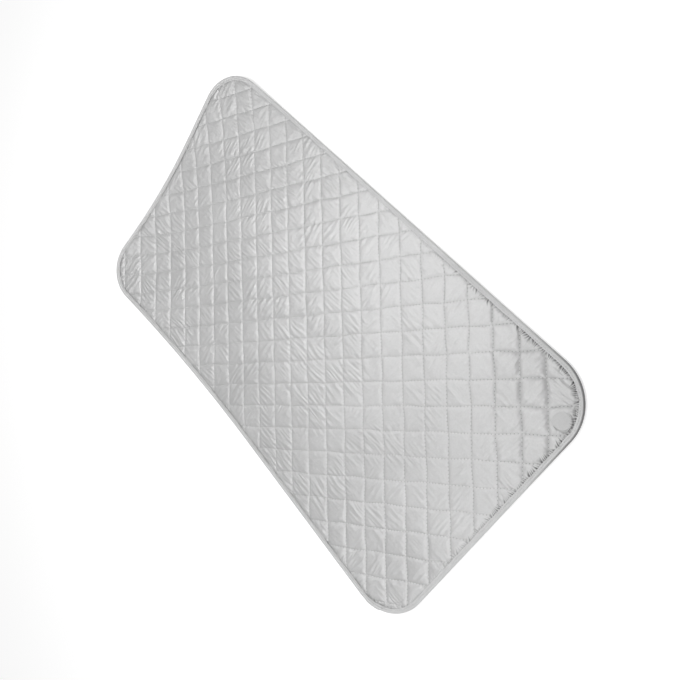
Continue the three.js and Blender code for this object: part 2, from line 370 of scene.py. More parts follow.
# Long narrow facets with creases between them, in some places along the pad and in others across it
creaseSets = [
    {"turn": 0.24, "scale": (26.0, 165.0, 1.0), "none": 0.46, "full": 0.62},
    {"turn": -0.16, "scale": (160.0, 28.0, 1.0), "none": 0.52, "full": 0.38},
]


def creaseGroup():
    tree, given, out = newGroup("creases", {"Regions": 13.0}, ["Height"])
    region = noise(tree, given["Vector"], given["Regions"], 1.0)["Fac"]
    place = drifted(tree, given["Vector"], 22.0, 0.0, 0.012)
    height = 0.0
    for crease in creaseSets:
        turned = {"Vector": place, "Scale": crease["scale"], "Rotation": (0.0, 0.0, crease["turn"])}
        stretched = made(tree, "ShaderNodeMapping", turned)
        there = ramp(tree, region, crease["none"], crease["full"], 0.08)
        for times, weight in ((1.0, 1.0), (1.9, 0.22)):
            narrow = {"Vector": stretched, "Scale": times}
            facets = put(tree, "ShaderNodeTexVoronoi", narrow, voronoi_dimensions="2D")
            deep = product(tree, facets.outputs["Distance"], weight)
            height = math2(tree, "ADD", height, product(tree, deep, there))
    tree.links.new(height, out.inputs["Height"])
    return tree


# Tucks beside the tape, one at each whole number along the edge, moved about and of uneven length. Tuck is
# a mask of painted shade in the tucks and along the tape's inner edge; Crest is a mask of painted highlight
# between them
tuckShape = {
    "waves": ((1.7, 0.0, 0.20), (0.61, 1.3, 0.22)),  # times, start and size of each shift along the edge
    "lean": (0.83, 0.6, 0.5),
    "shuffle": (12.99, 7.31),
    "shortest": 1.0,
    "longer": 1.4,
}


def tucksGroup():
    tree, given, out = newGroup("tucks", {}, ["Tuck", "Crest"])
    parts = put(tree, "ShaderNodeSeparateXYZ", {0: given["Vector"]}).outputs
    count = parts[0]
    deep = math2(tree, "MAXIMUM", parts[1], 0.0)

    def wave(times, start, size):
        angle = math2(tree, "MULTIPLY_ADD", count, times, start)
        return product(tree, math2(tree, "SINE", angle), size)

    moved = count
    for shift in tuckShape["waves"]:
        moved = math2(tree, "ADD", moved, wave(*shift))
    moved = math2(tree, "MULTIPLY_ADD", wave(*tuckShape["lean"]), deep, moved)
    number = math2(tree, "FLOOR", math2(tree, "ADD", moved, 0.5))
    turned = math2(tree, "SINE", product(tree, number, tuckShape["shuffle"][0]))
    chance = math2(tree, "FRACT", product(tree, turned, tuckShape["shuffle"][1]))
    apart = math2(tree, "ABSOLUTE", math2(tree, "SUBTRACT", moved, number))
    beside = ramp(tree, apart, 0.12, 0.40, 1.0, 0.0)
    reach = math2(tree, "MULTIPLY_ADD", chance, tuckShape["longer"], tuckShape["shortest"])
    fade = math2(tree, "MAXIMUM", math2(tree, "SUBTRACT", 1.0, math2(tree, "DIVIDE", deep, reach)), 0.0)
    strength = product(tree, math2(tree, "MULTIPLY_ADD", chance, 0.5, 0.5), fade)
    # a band of painted shade along the tape's inner edge
    rim = ramp(tree, deep, 0.0, 1.5, 0.18, 0.0)
    tuck = math2(tree, "MAXIMUM", product(tree, beside, strength), rim)
    tree.links.new(tuck, out.inputs["Tuck"])
    between = ramp(tree, apart, 0.28, 0.42)
    tree.links.new(product(tree, between, strength), out.inputs["Crest"])
    return tree


# Small facets with creases between them, as in a cloth that was crumpled and smoothed out
def crumpleGroup():
    tree, given, out = newGroup("crumple", {"Facets": 90.0}, ["Height"])
    place = drifted(tree, given["Vector"], 70.0, 1.0, 0.012)
    facets = []
    for times, weight in ((1.0, 1.0), (2.3, 0.42)):
        scale = product(tree, given["Facets"], times)
        cells = put(tree, "ShaderNodeTexVoronoi", {"Vector": place, "Scale": scale})
        facets.append(product(tree, cells.outputs["Distance"], weight))
    tree.links.new(math2(tree, "ADD", *facets), out.inputs["Height"])
    return tree


threads = weaveGroup()
mottle = mottleGroup()
crumple = crumpleGroup()
tucks = tucksGroup()
stitchedRows = rowsGroup()
creased = creaseGroup()


def newMaterial(name, **fixed):
    material = bpy.data.materials.new(name)
    material.use_nodes = True
    tree = material.node_tree
    shader = tree.nodes["Principled BSDF"]
    for label, value in fixed.items():
        shader.inputs[label.replace("_", " ")].default_value = value
    return material, tree, shader


def objectPlace(tree):
    return put(tree, "ShaderNodeTexCoord").outputs["Object"]


def coloured(tree, shader, tone, colour):
    mix = put(tree, "ShaderNodeMix", {0: 1.0}, data_type="RGBA", blend_type="MULTIPLY")
    mix.inputs[6].default_value = (*colour, 1.0)
    grey = put(tree, "ShaderNodeCombineColor", {0: tone, 1: tone, 2: tone})
    tree.links.new(grey.outputs[0], mix.inputs[7])
    tree.links.new(mix.outputs[2], shader.inputs["Base Color"])


def roughened(tree, shader, tone, roughness):
    tree.links.new(product(tree, tone, roughness), shader.inputs["Roughness"])


def raised(tree, shader, layers):
    normal = None
    for height, strength, distance in layers:
        bump = put(tree, "ShaderNodeBump", {"Height": height, "Strength": strength, "Distance": distance})
        if normal is not None:
            tree.links.new(normal, bump.inputs["Normal"])
        normal = bump.outputs[0]
    tree.links.new(normal, shader.inputs["Normal"])


def mapPlace(tree):
    return made(tree, "ShaderNodeUVMap", uv_map="UVMap")


def painted(tree, name):
    return put(tree, "ShaderNodeAttribute", attribute_name=name).outputs["Fac"]


def mottled(tree, place, blotches, flecks, low, high=1.05):
    spread = {"Vector": place, "Blotches": blotches, "Flecks": flecks, "Low": low, "High": high}
    return shared(tree, mottle, spread)["Tone"]


def woven(tree, place, perMetre):
    return shared(tree, threads, {"Vector": place, "Threads": perMetre})["Height"]


# The tone with painted shade: darker by each amount where its mask is 1, and lighter as a painted highlight
# where the amount is below 0
def paintedShade(tree, tone, masks):
    for mask, amount in masks:
        tone = product(tree, tone, math2(tree, "MULTIPLY_ADD", mask, -amount, 1.0))
    return tone


faceLook = {
    "colour": (0.604, 0.604, 0.604),
    "threads": 1450.0,  # per metre
    "metallic": 0.58,
    "roughness": 0.53,
    "crease": 0.00130,
    "facet": 0.00042,
    "dent": 0.00019,
    # Painted shade: how much darker the needle holes, the tucks and the groove round a disc are; painted
    # highlight: how much lighter the crests between tucks are; the disc over a magnet is a little darker
    "holeShade": 0.55,
    "tuckShade": 0.95,
    "crestHighlight": 0.30,
    "coinDark": 0.10,
    "hollowShade": 0.32,
}


def faceCloth():
    fixed = {"Metallic": faceLook["metallic"], "Sheen_Weight": 0.1}
    material, tree, shader = newMaterial("silver coated cotton", **fixed)
    place = objectPlace(tree)
    tone = mottled(tree, place, 9.0, 420.0, 0.93)
    stitches = {"Vector": mapPlace(tree), "Stitches": float(quilt["stitchesPerCell"])}
    edge = made(tree, "ShaderNodeUVMap", uv_map="EdgeMap")
    gathered = shared(tree, tucks, {"Vector": edge})
    tight = painted(tree, "tight")
    coin = painted(tree, "coin")
    # Painted shade in the needle holes, in the tucks and along the tape's inner edge, and in the groove
    # round each disc; painted highlight on the crests between the tucks; the disc over a magnet a little
    # darker
    masks = [
        (shared(tree, stitchedRows, stitches)["Hole"], faceLook["holeShade"]),
        (product(tree, gathered["Tuck"], tight), faceLook["tuckShade"]),
        (coin, faceLook["coinDark"]),
        (product(tree, gathered["Crest"], tight), -faceLook["crestHighlight"]),
        (painted(tree, "hollow"), faceLook["hollowShade"]),
    ]
    shadedTone = paintedShade(tree, tone, masks)
    coloured(tree, shader, shadedTone, faceLook["colour"])
    roughened(tree, shader, tone, faceLook["roughness"])
    flat = product(tree, math2(tree, "SUBTRACT", 1.0, coin), painted(tree, "loose"))
    crease = product(tree, shared(tree, creased, {"Vector": place})["Height"], flat)
    facets = product(tree, shared(tree, crumple, {"Vector": place})["Height"], flat)
    dents = noise(tree, place, 150.0, 3.0)["Fac"]
    layers = [
        (crease, 1.0, faceLook["crease"]),
        (facets, 1.0, faceLook["facet"]),
        (dents, 1.0, faceLook["dent"]),
        (woven(tree, place, faceLook["threads"]), 0.25, 0.0003),
    ]
    raised(tree, shader, layers)
    return material


def plainCloth(name, colour, perMetre, roughness):
    material, tree, shader = newMaterial(name, Sheen_Weight=0.15)
    place = objectPlace(tree)
    tone = mottled(tree, place, 14.0, 700.0, 0.93)
    coloured(tree, shader, tone, colour)
    roughened(tree, shader, tone, roughness)
    raised(tree, shader, [(woven(tree, place, perMetre), 0.4, 0.0003)])
    return material


tapeLook = {
    "colour": (0.635, 0.635, 0.635),
    "roughness": 0.45,
    "threads": 1700.0,
    # Painted shade: how much darker the seam's groove, its needle holes, the tape's free edge and the outer
    # rim near one corner are
    "seamShade": 0.22,
    "holeShade": 0.3,
    "lipShade": 0.12,
    "rimShade": 0.68,
    "shadedCorner": (0.395, 0.190, 0.003),  # the corner near which the outer rim is darkened as painted shade
    "shadeNear": 0.04,
    "shadeFar": 0.12,
}


# The tape's map counts stitches along it, and across it from 0 at the fold to 1 at the free edge
def tapeCloth():
    material, tree, shader = newMaterial("binding tape", Metallic=0.3, Sheen_Weight=0.15)
    place = objectPlace(tree)
    tone = mottled(tree, place, 14.0, 500.0, 0.92)
    along, across = put(tree, "ShaderNodeSeparateXYZ", {0: mapPlace(tree)}).outputs[:2]
    fromSeam = math2(tree, "ABSOLUTE", math2(tree, "SUBTRACT", across, tape["seam"] / tape["width"]))
    groove = ramp(tree, fromSeam, 0.0, 0.08, 1.0, 0.0)
    hole = ramp(tree, math2(tree, "PINGPONG", along, 0.5), 0.0, 0.25, 1.0, 0.0)
    away = put(tree, "ShaderNodeVectorMath", {0: place, 1: tapeLook["shadedCorner"]}, operation="DISTANCE")
    near, far = tapeLook["shadeNear"], tapeLook["shadeFar"]
    shadedCorner = ramp(tree, away.outputs["Value"], near, far, 1.0, 0.0)
    rim = ramp(tree, across, 0.10, 0.28, 1.0, 0.0)
    # Painted shade in the seam's groove and its needle holes, at the tape's free edge, and on the outer rim
    # near the back right corner
    masks = [
        (groove, tapeLook["seamShade"]),
        (product(tree, groove, hole), tapeLook["holeShade"]),
        (ramp(tree, across, 0.93, 1.0), tapeLook["lipShade"]),
        (product(tree, rim, shadedCorner), tapeLook["rimShade"]),
    ]
    shadedTone = paintedShade(tree, tone, masks)
    coloured(tree, shader, shadedTone, tapeLook["colour"])
    roughened(tree, shader, tone, tapeLook["roughness"])
    weave = woven(tree, place, tapeLook["threads"])
    dents = noise(tree, place, 260.0, 2.0)["Fac"]
    raised(tree, shader, [(dents, 1.0, 0.0004), (weave, 0.4, 0.0003)])
    return material


# Loose fibres: felt and wadding
def fibreCloth(name, colour, scale):
    material, tree, shader = newMaterial(name, Roughness=0.95, Sheen_Weight=0.3)
    place = objectPlace(tree)
    tone = mottled(tree, place, 30.0, scale, 0.82, 1.08)
    coloured(tree, shader, tone, colour)
    raised(tree, shader, [(noise(tree, place, scale, 4.0, 2.0)["Fac"], 0.8, 0.0008)])
    return material


def nickelPlate():
    material, tree, shader = newMaterial("nickel plating", Metallic=1.0)
    place = objectPlace(tree)
    tone = mottled(tree, place, 90.0, 900.0, 0.9, 1.06)
    coloured(tree, shader, tone, (0.66, 0.63, 0.58))
    roughened(tree, shader, tone, 0.3)
    raised(tree, shader, [(noise(tree, place, 1500.0, 2.0)["Fac"], 0.2, 0.0001)])
    return material


tape = {
    "width": 0.0090,
    "thickness": 0.0005,
    "height": 0.0053,
    "fold": 0.0025,
    "seam": 0.0056,  # in from the fold
    "seamWidth": 0.0008,
    "seamDip": 0.0007,
    "crown": 0.00018,  # between the fold and the seam
    "lipFade": 0.0020,  # the free edge beyond the seam
    "lipWave": 0.00022,
    "lipDrop": 0.0002,
    "lipTurn": 0.0004,  # by how much the drop differs from one side of the pad to the other
    "edgeWave": 0.0004,
    "spacing": 0.0017,
    "lap": 0.028,
    "lapSlant": 0.0060,  # how far the cut end of the tape leans
    "lapStep": 0.0004,
    "lapFade": 0.0040,
    "cutWidth": 0.019,
}

faceMaterial = faceCloth()
backMaterial = plainCloth("plain woven backing", (0.525, 0.525, 0.525), 1200.0, 0.8)
tapeMaterial = tapeCloth()
threadMaterial = plainCloth("sewing thread", (0.76, 0.76, 0.76), 2500.0, 0.55)
feltMaterial = fibreCloth("grey felt", (0.40, 0.40, 0.41), 900.0)
waddingMaterial = fibreCloth("white wadding", (0.80, 0.80, 0.79), 500.0)
magnetMaterial = nickelPlate()
print("materials made")

magnetNodes = [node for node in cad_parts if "magnet" in node]
magnetPlaces = [(sum(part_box(node), Vector()) / 2) for node in magnetNodes]

# Face cover: cut a little large and askew, then sewn down along the rows, so that the cells puff and crease

face = {
    "perCell": 14,
    "underTape": 0.0090,
    "extra": 0.014,
    "frames": 22,
    "sewnBy": 12,
    "simScale": 20.0,
    "seeds": (0.0002, 0.0005),  # uneven heights to start from
    "crown": 0.0016,
    "shoulder": 0.0009,
    "least": 0.85,  # of the crown, in cells that the sewing left slack
    "fullness": 5.0,
    "broad": 4,
    "smoothing": 1,
    "wrinkle": 1.2,
    "dip": 0.0003,
    "tapeFade": 0.006,  # the crowns begin over this length in from the tape
    "quickCrown": 0.003,
    "quickFullness": 2.4,
}
# How the cloth was dragged askew as it was sewn: across the pad, and a little more in some rows
drag = {
    "shear": 0.012,
    "firstSpan": 0.30,
    "secondSpan": 0.28,
    "rowShear": 0.004,
    "rowSpan": 0.045,
    "feed": 0.00012,
}


def cutShape(grid):
    first, second = grid["xy"] @ firstWay, grid["xy"] @ secondWay
    cut = grid["xy"] * (1 + face["extra"])
    slips = [(firstWay, second, "secondSpan", 0.6), (secondWay, first, "firstSpan", 2.2)]
    for way, across, span, start in slips:
        wide = drag[span] / math.pi
        slip = -2 * drag["shear"] * wide * np.sin(across / wide)
        narrow = drag["rowSpan"] / math.pi
        slip += 2 * drag["rowShear"] * narrow * np.sin(across / narrow + start)
        cut += slip[:, None] * way
    u, v = grid["uv"].T
    unevenFirst = np.sin(4.3 * u + 2.9 * v) + np.sin(2.1 * u - 5.3 * v)
    unevenSecond = np.sin(3.9 * v - 3.1 * u + 1.1)
    return cut + drag["feed"] * np.stack([unevenFirst, unevenSecond], 1)


clothLike = {
    "quality": 5,
    "mass": 0.01,
    "air_damping": 1,
    "tension_stiffness": 40,
    "compression_stiffness": 40,
    "shear_stiffness": 20,
    "tension_damping": 5,
    "compression_damping": 5,
    "shear_damping": 5,
    "bending_stiffness": 0.6,
    "vertex_group_mass": "rows",
    "pin_stiffness": 50,
    "use_pressure": True,
    "uniform_pressure_force": 3.0,
}


def sewDown(grid, pinned):
    scale = face["simScale"]
    seeded = np.random.RandomState(5).uniform(*face["seeds"], len(pinned))
    height = np.where(pinned, 0, seeded)
    mesh = bpy.data.meshes.new("cut cloth")
    cut = np.c_[cutShape(grid), height] * scale
    mesh.from_pydata(cut.tolist(), [], grid["squares"].tolist())
    cloth = newObject("cut cloth", mesh)
    cloth.vertex_groups.new(name="rows").add(np.nonzero(pinned)[0].tolist(), 1.0, "REPLACE")
    cloth.shape_key_add(name="cut")
    sewn = cloth.shape_key_add(name="sewn")
    sewn.data.foreach_set("co", (np.c_[grid["xy"], height] * scale).astype(np.float32).reshape(-1))
    for value, at in ((0, 1), (1, face["sewnBy"])):
        sewn.value = value
        sewn.keyframe_insert("value", frame=at)
    modifier = cloth.modifiers.new("Cloth", "CLOTH")
    modifier.collision_settings.use_collision = False
    modifier.point_cache.frame_end = face["frames"]
    for name, value in clothLike.items():
        setattr(modifier.settings, name, value)
    modifier.settings.effector_weights.gravity = 0
    for step in range(1, face["frames"] + 1):
        bpy.context.scene.frame_set(step)
    settled = cloth.evaluated_get(bpy.context.evaluated_depsgraph_get()).data
    points = np.zeros(len(settled.vertices) * 3, np.float32)
    settled.vertices.foreach_get("co", points)
    bpy.data.objects.remove(cloth)
    bpy.context.scene.frame_set(1)
    return points.reshape(-1, 3).astype(float) / scale


faceGrid = quiltGrid(face["perCell"], pad["plyEdge"])
heldIn = pad["plyEdge"] + (face["underTape"] - pad["plyEdge"]) * tapeShare(faceGrid["xy"])
heldDown = onRows(faceGrid["uv"]).any(1) | (outside(faceGrid["xy"]) > -heldIn)
faceSewn = sewDown(faceGrid, heldDown)


def smoothed(points, squares, held, passes):
    edges = np.concatenate([squares[:, [k, (k + 1) % 4]] for k in range(4)])
    edges = np.concatenate([edges, edges[:, ::-1]])
    count = np.bincount(edges[:, 0], minlength=len(points))[:, None]
    for _ in range(passes):
        around = [np.bincount(edges[:, 0], points[edges[:, 1], axis], len(points)) for axis in range(3)]
        points = np.where(held[:, None], points, 0.5 * points + 0.5 * np.stack(around, 1) / count)
    return points


# How far the cells puff up and how loose the cloth lies, across the pad from its left corner to its right
slack = {
    "at": (-0.40, -0.05, 0.18, 0.29, 0.335, 0.40),
    "puff": (1.0, 0.95, 0.46, 0.60, 1.3, 1.75),
    "loose": (1.1, 1.0, 0.5, 0.6, 0.8, 1.0),
    "corner": {"puff": 0.85, "loose": 0.25},  # more at the front right corner
    "cornerFrom": (0.27, 0.20),  # along the two sets of rows
    "cornerFade": (0.08, 0.10),
}


def slackAt(xy, kind):
    first, second = xy @ firstWay, xy @ secondWay
    atFirst = unit((slack["cornerFrom"][0] - first) / slack["cornerFade"][0])
    atSecond = unit((second - slack["cornerFrom"][1]) / slack["cornerFade"][1])
    return np.interp(first, slack["at"], slack[kind]) + slack["corner"][kind] * atSecond * atFirst


# The wadding gives way under a high crown: steep shoulders and a flatter middle, with the wrinkles kept
def flattened(points, grid, held):
    broad = smoothed(points, grid["squares"], held, face["broad"])[:, 2]
    wrinkles = smoothed(points, grid["squares"], held, face["smoothing"])[:, 2] - broad
    crown = face["crown"] * (1 - np.exp(-np.maximum(broad, 0) / face["shoulder"]))
    fromTape = unit((-outside(grid["xy"]) - heldIn) / face["tapeFade"])
    least = face["crown"] * face["least"] * pillow(grid["uv"], face["fullness"]) * fromTape
    puffed = np.maximum(crown, least) * slackAt(points[:, :2], "puff")
    return puffed + face["wrinkle"] * wrinkles * slackAt(points[:, :2], "loose")


# Each stitch draws the cloth down at its two holes
def needleDips(uv):
    dips = np.zeros(len(uv))
    for axis in (0, 1):
        wave = np.cos(2 * math.pi * uv[:, 1 - axis] * quilt["stitchesPerCell"])
        dips = np.where(onRows(uv)[:, axis], face["dip"] * (0.3 + 0.7 * wave), dips)
    return dips


def liftOnto(points, height):
    return np.c_[points[:, :2], lay(points[:, :2]) + height + points[:, 2]]


faceSewn[:, 2] = flattened(faceSewn, faceGrid, heldDown) - needleDips(faceGrid["uv"])
print("face sewn: highest crown", round(faceSewn[:, 2].max() * 1000, 2), "mm")

# Tucks that the sewing of the tape draws into the face just inside it, tightest at one end of the pad
gathers = {
    "pitch": 0.0034,
    "depth": 0.0010,
    "swell": 0.0002,
    "outer": 0.0045,  # the mesh is made finer between these two, in from the edge
    "inner": 0.0170,
    "least": 0.25,
    "tightFrom": 0.20,
    "tightFade": 0.12,
}


def tuckAt(count, deep):
    times, start, size = tuckShape["lean"]
    moved = count + size * np.sin(times * count + start) * deep
    for times, start, size in tuckShape["waves"]:
        moved = moved + size * np.sin(times * count + start)
    number = np.floor(moved + 0.5)
    chance = np.sin(tuckShape["shuffle"][0] * number) * tuckShape["shuffle"][1] % 1
    beside = unit((0.34 - np.abs(moved - number)) / 0.26)
    reach = tuckShape["shortest"] + tuckShape["longer"] * chance
    return beside * unit(1 - deep / reach) * (0.45 + 0.55 * chance)


# Where a magnet shows through the face, and how clearly
coins = {
    "radius": 0.0119,
    "edge": 0.0026,
    "height": 0.0022,
    "groove": 0.0014,
    "grooveAt": 0.0018,  # out from the disc
    "grooveWidth": 0.0014,
    "tilt": 0.09,
    "around": 0.0175,  # the mesh is made finer within this
}
coinClear = {"back_right": 1.0, "front_right": 0.35, "front_left": 0.2, "back_left": 0.15}


def finer(mesh, chosen, cuts):
    work = bmesh.new()
    work.from_mesh(mesh)
    points = np.array([vertex.co for vertex in work.verts])
    near = chosen(points)
    edges = [edge for edge in work.edges if near[edge.verts[0].index] and near[edge.verts[1].index]]
    bmesh.ops.subdivide_edges(work, edges=edges, cuts=cuts, use_grid_fill=True)
    work.to_mesh(mesh)
    work.free()


def fromCoin(points, place):
    return np.hypot(points[:, 0] - place.x, points[:, 1] - place.y)


def nearCoin(points):
    return np.min([fromCoin(points, place) for place in magnetPlaces], axis=0) < coins["around"]


def pressCoins(points):
    shown, hollow = np.zeros((2, len(points)))
    for node, place in zip(magnetNodes, magnetPlaces):
        clear = [value for name, value in coinClear.items() if node.endswith(name)][0]
        away = fromCoin(points, place)
        inside = eased((coins["radius"] - away) / coins["edge"] + 0.5)
        outer = outwardWay(np.array([place[:2]]))[0]
        outward = (points[:, :2] - place[:2]) @ outer
        level = lay(points[:, :2]) + pad["stitchTop"] + coins["height"] - coins["tilt"] * outward
        ring = np.exp(-((away - coins["radius"] - coins["grooveAt"]) / coins["grooveWidth"]) ** 2)
        ring *= 0.15 + 0.85 * unit(outward / coins["radius"])
        points[:, 2] += clear * (inside * (level - points[:, 2]) - coins["groove"] * ring)
        shown += clear * inside
        hollow += clear * ring
    return shown, hollow


# A second map for the tucks: tucks along the edge, and in from the tape in the same measure
def edgeMap(mesh, count, deep):
    corners = cornersOf(mesh)
    sizes = np.zeros(len(mesh.polygons), np.int32)
    mesh.polygons.foreach_get("loop_total", sizes)
    around = count[corners]
    whole = outlineLength / gathers["pitch"]
    starts = np.concatenate([[0], np.cumsum(sizes)[:-1]])
    highest = np.repeat(np.maximum.reduceat(around, starts), sizes)
    around = around + np.where(highest - around > whole / 2, whole, 0)
    layer = mesh.uv_layers.new(name="EdgeMap")
    layer.data.foreach_set("uv", np.stack([around, deep[corners]], 1).astype(np.float32).reshape(-1))
    mesh.uv_layers.active = mesh.uv_layers["UVMap"]


def finishFace(piece):
    mesh = piece.data
    finer(mesh, inTuckBand, 2)
    finer(mesh, nearCoin, 2)
    points = np.array([vertex.co for vertex in mesh.vertices])
    coin, hollow = pressCoins(points)
    xy = points[:, :2]
    inner = tape["fold"] + (tape["width"] - tape["fold"]) * tapeShare(xy)
    deep = (-outside(xy) - inner) / gathers["pitch"]
    count = np.zeros(len(points))
    band = np.nonzero(deep < 3)[0]
    count[band] = runOf(xy[band]) / gathers["pitch"]
    tight = unit((xy @ firstWay - gathers["tightFrom"]) / gathers["tightFade"])
    tight = gathers["least"] + (1 - gathers["least"]) * tight
    swell = gathers["swell"] * unit(1.4 - np.abs(deep - 0.5)) * (deep > -0.5)
    points[:, 2] += tight * (swell - gathers["depth"] * tuckAt(count, np.maximum(deep, 0)))
    mesh.vertices.foreach_set("co", points.astype(np.float32).reshape(-1))
    edgeMap(mesh, count, deep)
    loose = slackAt(xy, "loose")
    for name, values in (("tight", tight), ("coin", coin), ("hollow", hollow), ("loose", loose)):
        mesh.attributes.new(name, "FLOAT", "POINT").data.foreach_set("value", values.astype(np.float32))
    mesh.update()


def inTuckBand(points):
    edge = -outside(points[:, :2])
    return (edge > gathers["outer"]) & (edge < gathers["inner"])


# The cloth has a sharp fold along each row
def foldRows(mesh, uv):
    ends = np.zeros(len(mesh.edges) * 2, np.int32)
    mesh.edges.foreach_get("vertices", ends)
    ends = ends.reshape(-1, 2)
    onRow = onRows(uv)
    alongRow = np.abs(uv[ends[:, 0]] - uv[ends[:, 1]]) < 1e-6
    folded = (onRow[ends[:, 0]] & onRow[ends[:, 1]] & alongRow).any(1)
    mesh.attributes.new("sharp_edge", "BOOLEAN", "EDGE").data.foreach_set("value", folded)


facePoints = liftOnto(faceSewn, pad["stitchTop"])
facePiece = meshPiece("face_cover_cloth", facePoints, faceGrid["squares"], faceMaterial, faceGrid["uv"])
foldRows(facePiece.data, faceGrid["uv"])

# Back cover: the same rows seen from below, with flat pillows that rest on the table

back = {"perCell": 6, "rowRise": 0.0009, "fullness": 3.0}


def underside(grid):
    rows = back["rowRise"] * (1 - pillow(grid["uv"], back["fullness"]))
    atEdge = unit(1 + (outside(grid["xy"]) + pad["riseFull"]) / pad["riseFade"])
    return np.maximum(rows, pad["edgeRise"] * atEdge)


backGrid = quiltGrid(back["perCell"], pad["plyEdge"])
backPoints = np.c_[backGrid["xy"], lay(backGrid["xy"]) + underside(backGrid)]
backFaces = backGrid["squares"][:, ::-1]
backPiece = meshPiece("back_cover_cloth", backPoints, backFaces, backMaterial, backGrid["uv"])

# Inner plies: crowned wadding under the face and flat felt over the back, with a hole for each magnet

plies = {
    "perCell": 6,
    "hole": 0.0125,
    "edgeBand": 0.004,  # a rim deeper in than this is a hole's
    "clothGap": 0.0008,
    "feltLow": 0.0018,
    "feltTop": 0.0026,
    "waddingLow": 0.0029,
    "waddingTop": 0.0035,
    "faceGap": 0.0003,
}


def plyGrid():
    grid = quiltGrid(plies["perCell"], pad["plyEdge"])
    centres = np.array([place[:2] for place in magnetPlaces])
    middles = grid["xy"][grid["squares"]].mean(1)
    clear = np.linalg.norm(middles[:, None] - centres[None], axis=2).min(1) > plies["hole"]
    used, squares = np.unique(grid["squares"][clear], return_inverse=True)
    xy, uv = grid["xy"][used], grid["uv"][used]
    squares = squares.reshape(-1, 4)
    rim = rimOf(squares)
    onHole = np.unique(rim[outside(xy[rim[:, 0]]) < -plies["edgeBand"]])
    for index in onHole:
        away = xy[index] - centres
        nearest = np.linalg.norm(away, axis=1).argmin()
        xy[index] = centres[nearest] + away[nearest] / np.linalg.norm(away[nearest]) * plies["hole"]
    return {"xy": xy, "uv": uv, "squares": squares, "rim": rim}


def closedPly(name, grid, low, high, material):
    count = len(grid["xy"])
    rise = lay(grid["xy"])
    points = np.concatenate([np.c_[grid["xy"], rise + high], np.c_[grid["xy"], rise + low]])
    start, end = grid["rim"].T
    walls = np.stack([end, start, start + count, end + count], 1)
    faces = np.concatenate([grid["squares"], grid["squares"][:, ::-1] + count, walls])
    return meshPiece(name, points, faces, material, np.concatenate([grid["uv"], grid["uv"]]))


# How far the face stands above its rows over each point, at the lowest place nearby
def roomUnder(grid, height, uv):
    low = np.round(grid["uv"] * grid["perCell"]).astype(int)
    first = low.min(0) - 3
    room = np.zeros(low.max(0) - first + 4)
    room[tuple((low - first).T)] = np.maximum(height, 0)
    for axis in (0, 1):
        room = np.min([np.roll(room, shift, axis) for shift in (-2, -1, 0, 1, 2)], axis=0)
    at = np.round(uv * grid["perCell"]).astype(int) - first
    at = np.clip(at, 0, np.array(room.shape) - 1)
    return np.maximum(room[tuple(at.T)] - plies["faceGap"], 0)


plyShape = plyGrid()
feltLow = np.minimum(underside(plyShape) + plies["clothGap"], plies["feltLow"])
feltTop = np.full(len(feltLow), plies["feltTop"])
feltPiece = closedPly("lower_felt_ply", plyShape, feltLow, feltTop, feltMaterial)
waddingTop = plies["waddingTop"] + roomUnder(faceGrid, faceSewn[:, 2], plyShape["uv"])
waddingPiece = closedPly("upper_wadding_ply", plyShape, plies["waddingLow"], waddingTop, waddingMaterial)

stitching = {
    "quilt": {"length": 0.0037, "radius": 0.00036, "sink": 0.0003},
    "under": {"length": 0.0040, "radius": 0.00026, "sink": -0.0003},
    "tape": {"length": 0.0028, "radius": 0.00024, "sink": 0.0004},
    "tapePitch": 0.0034,
    "tapeDip": 0.0006,  # how far the seam lies below the top of the tape
    "quiltInset": 0.0102,
    "quiltLift": 0.0001,
    "arch": 2.2,  # times the sink
    "smallest": (0.88, 0.85, 0.7),
    "largest": (1.06, 1.15, 1.2),
}

# Edge binding: one tape folded over the edge and sewn through, its end lapped over its start

def tapeSection():
    middle = tape["height"] / 2
    angles = np.linspace(-math.pi / 2, math.pi / 2, 11)
    flats = np.linspace(tape["fold"], tape["width"], 12)[1:]
    foldOver = np.stack([tape["fold"] * (1 - np.cos(angles)), middle + middle * np.sin(angles)], 1)
    top = np.stack([flats, np.full(len(flats), tape["height"])], 1)
    under = np.stack([flats[::-2], np.zeros(len(flats[::-2]))], 1)
    outer = np.concatenate([under, foldOver, top])
    inFold = tape["fold"] - tape["thickness"]
    inHigh = middle - tape["thickness"]
    insideFold = tape["thickness"] + inFold * (1 - np.cos(angles))
    foldIn = np.stack([insideFold, middle + inHigh * np.sin(angles)], 1)
    topIn = top[::-2] - [0, tape["thickness"]]
    underIn = under[::-1] + [0, tape["thickness"]]
    return np.concatenate([outer, topIn, foldIn[::-2], underIn])


